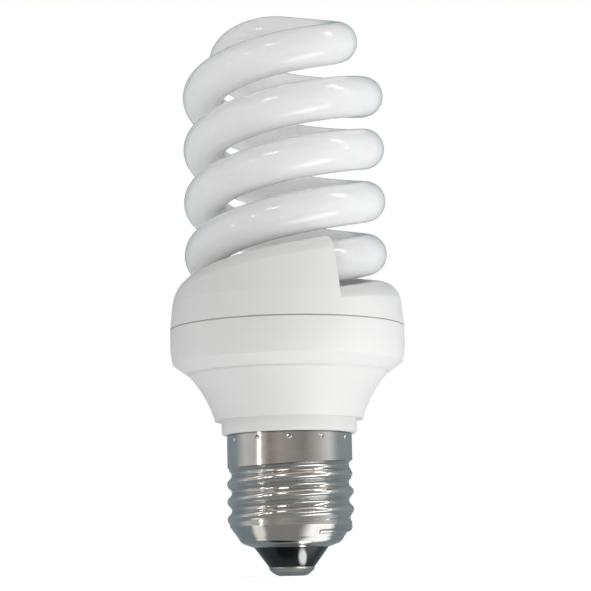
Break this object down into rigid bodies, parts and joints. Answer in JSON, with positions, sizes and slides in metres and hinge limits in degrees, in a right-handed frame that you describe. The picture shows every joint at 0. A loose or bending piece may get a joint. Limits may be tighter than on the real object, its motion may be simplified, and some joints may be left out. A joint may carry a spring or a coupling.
{
  "type": "spiral energy saving bulb",
  "caption": "Compact fluorescent lamp: a white glass tube coiled as a double helix stands on a round white plastic ballast housing with a metal screw cap below.",
  "frame": {"origin": "on the lamp's axis, at the bottom face of the centre contact", "axes": "+Z along the lamp's axis from the screw cap to the coil's crown; -Y is the front"},
  "size_m": [0.049, 0.049, 0.1185],
  "materials": {
    "phosphor_glass": "glossy, white powder coating inside",
    "white_plastic": "satin moulded white",
    "nickel_shell": "nickel plated, rolled",
    "black_glass": "black pressed glass",
    "contact_metal": "plated, dull",
    "board_laminate": "paper laminate",
    "capacitor_sleeve": "shrunk sleeve",
    "ferrite": "ground ferrite",
    "bobbin_plastic": "moulded",
    "copper_wire": "enamelled copper",
    "black_moulded": "moulded black",
    "film_lacquer": "dipped lacquer",
    "resistor_lacquer": "lacquered",
    "tinned_wire": "tinned wire",
    "wire_sleeve": "wire insulation"
  },
  "bodies": {
    "root": {"ballast_case": "white_plastic", "blocking_capacitor": "film_lacquer", "cap_insulator": "black_glass", "centre_contact": "contact_metal", "choke_bobbin": "bobbin_plastic", "choke_core": "ferrite", "choke_winding": "copper_wire", "circuit_board": "board_laminate", "diode_1": "black_moulded", "diode_2": "black_moulded", "diode_3": "black_moulded", "diode_4": "black_moulded", "feedback_ring": "ferrite", "fuse_resistor": "resistor_lacquer", "glass_tube": "phosphor_glass", "live_wire": "wire_sleeve", "neutral_wire": "wire_sleeve", "resonant_capacitor": "film_lacquer", "ring_winding_1": "copper_wire", "ring_winding_2": "copper_wire", "ring_winding_3": "copper_wire", "screw_shell": "nickel_shell", "smoothing_capacitor": "capacitor_sleeve", "start_resistor": "resistor_lacquer", "transistor_1": "black_moulded", "transistor_2": "black_moulded", "tube_cover": "white_plastic", "tube_lead_back_inner": "tinned_wire", "tube_lead_back_outer": "tinned_wire", "tube_lead_front_inner": "tinned_wire", "tube_lead_front_outer": "tinned_wire"}
  },
  "joints": []
}
